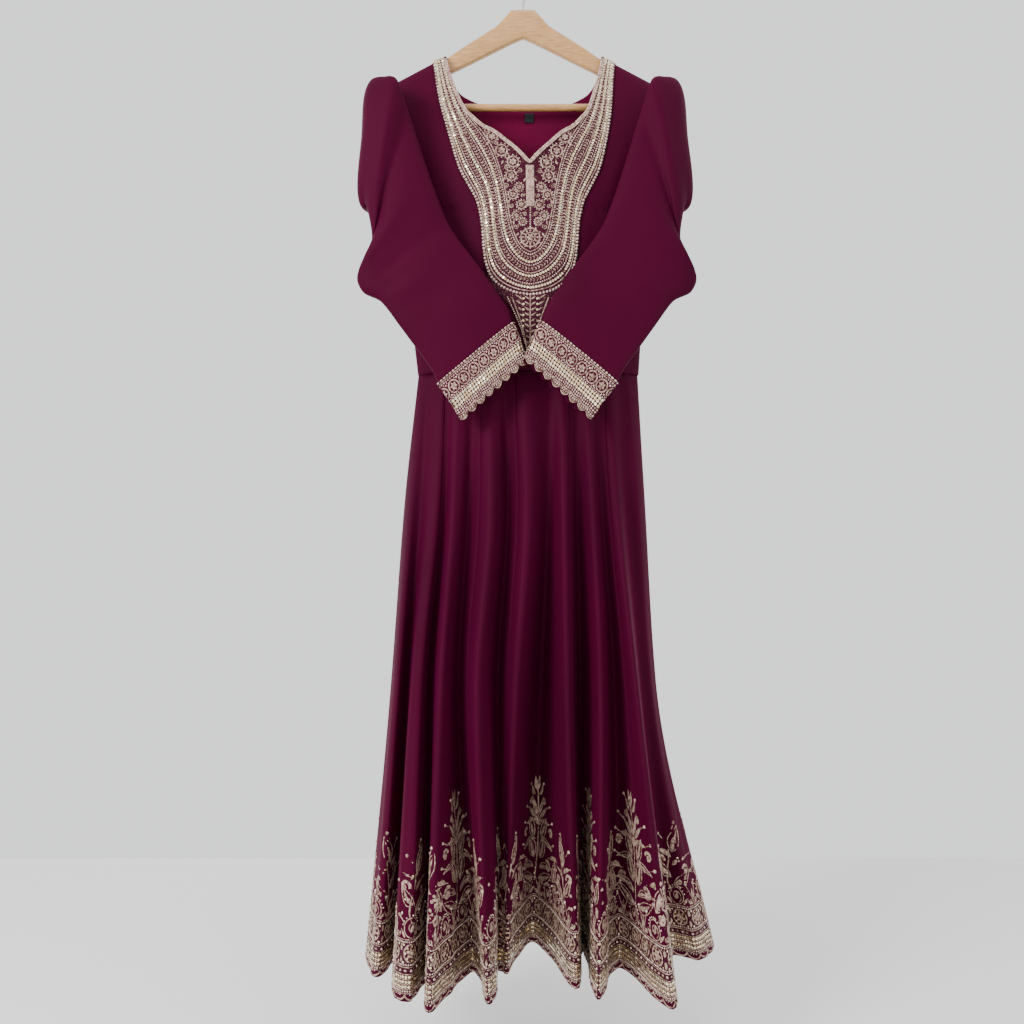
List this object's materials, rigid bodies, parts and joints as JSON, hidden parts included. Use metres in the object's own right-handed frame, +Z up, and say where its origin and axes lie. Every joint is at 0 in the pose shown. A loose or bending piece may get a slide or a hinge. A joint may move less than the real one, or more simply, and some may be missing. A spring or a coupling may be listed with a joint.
{
  "type": "anarkali gown on a wooden hanger",
  "caption": "Wine georgette anarkali gown with gold embroidered yoke, cuffs and hem, long sleeves and a flared skirt, hung on a wooden hanger",
  "frame": {"origin": "where the hook's inside bears on the rail that carries it", "axes": "+Z up, +X to the right of the front as seen, -Y out of the front, which faces the viewer"},
  "size_m": [0.5318, 0.2358, 1.4797],
  "materials": {
    "wine_georgette": "soft matt georgette",
    "wine_georgette_back": "matt inner side",
    "gold_embroidery": "thread with small sequins",
    "black_tape": "woven tape",
    "honey_wood": "satin lacquer",
    "hook_steel": "bright"
  },
  "bodies": {
    "root": {"bodice_front": "wine_georgette", "sleeve_left": "wine_georgette", "sleeve_right": "wine_georgette", "skirt_kali_front_1": "wine_georgette", "skirt_kali_front_2": "wine_georgette", "skirt_kali_front_3": "wine_georgette", "skirt_kali_front_4": "wine_georgette", "skirt_kali_front_5": "wine_georgette", "skirt_kali_front_6": "wine_georgette", "skirt_kali_back_1": "wine_georgette", "skirt_kali_back_2": "wine_georgette", "skirt_kali_back_3": "wine_georgette", "skirt_kali_back_4": "wine_georgette", "skirt_kali_back_5": "wine_georgette", "skirt_kali_back_6": "wine_georgette", "bodice_back": "wine_georgette_back", "yoke_panel": "gold_embroidery", "neck_binding": "gold_embroidery", "placket_strip": "gold_embroidery", "cuff_band_left": "gold_embroidery", "cuff_band_right": "gold_embroidery", "size_label": "black_tape", "hanger_arms": "honey_wood", "hanger_bar": "honey_wood", "hanger_hook": "hook_steel"}
  },
  "joints": []
}
